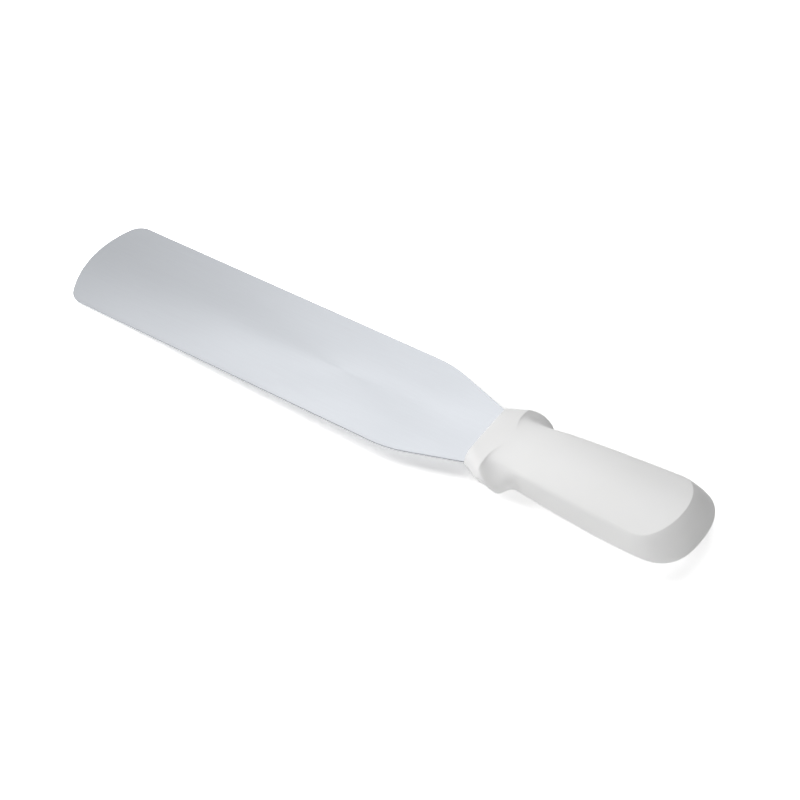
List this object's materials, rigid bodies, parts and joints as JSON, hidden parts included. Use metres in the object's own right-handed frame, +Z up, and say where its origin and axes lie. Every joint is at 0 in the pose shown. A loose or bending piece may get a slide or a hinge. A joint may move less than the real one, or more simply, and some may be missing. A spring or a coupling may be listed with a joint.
{
  "type": "icing spatula",
  "caption": "Straight icing spatula: a broad flat flexible steel blade with a rounded tip, tapering into a white moulded plastic handle with a finger guard, for spreading and smoothing icing.",
  "frame": {"origin": "on the table, under the middle of the tool's length and width as it lies at rest", "axes": "+X from the blade's tip to the butt of the handle, +Z up from the table, +Y across the blade"},
  "size_m": [0.3764, 0.0658, 0.026],
  "materials": {
    "satin_steel": "satin, fine lengthwise grain",
    "white_plastic": "smooth moulded white, low sheen"
  },
  "bodies": {
    "root": {"blade": "satin_steel", "handle": "white_plastic"}
  },
  "joints": []
}
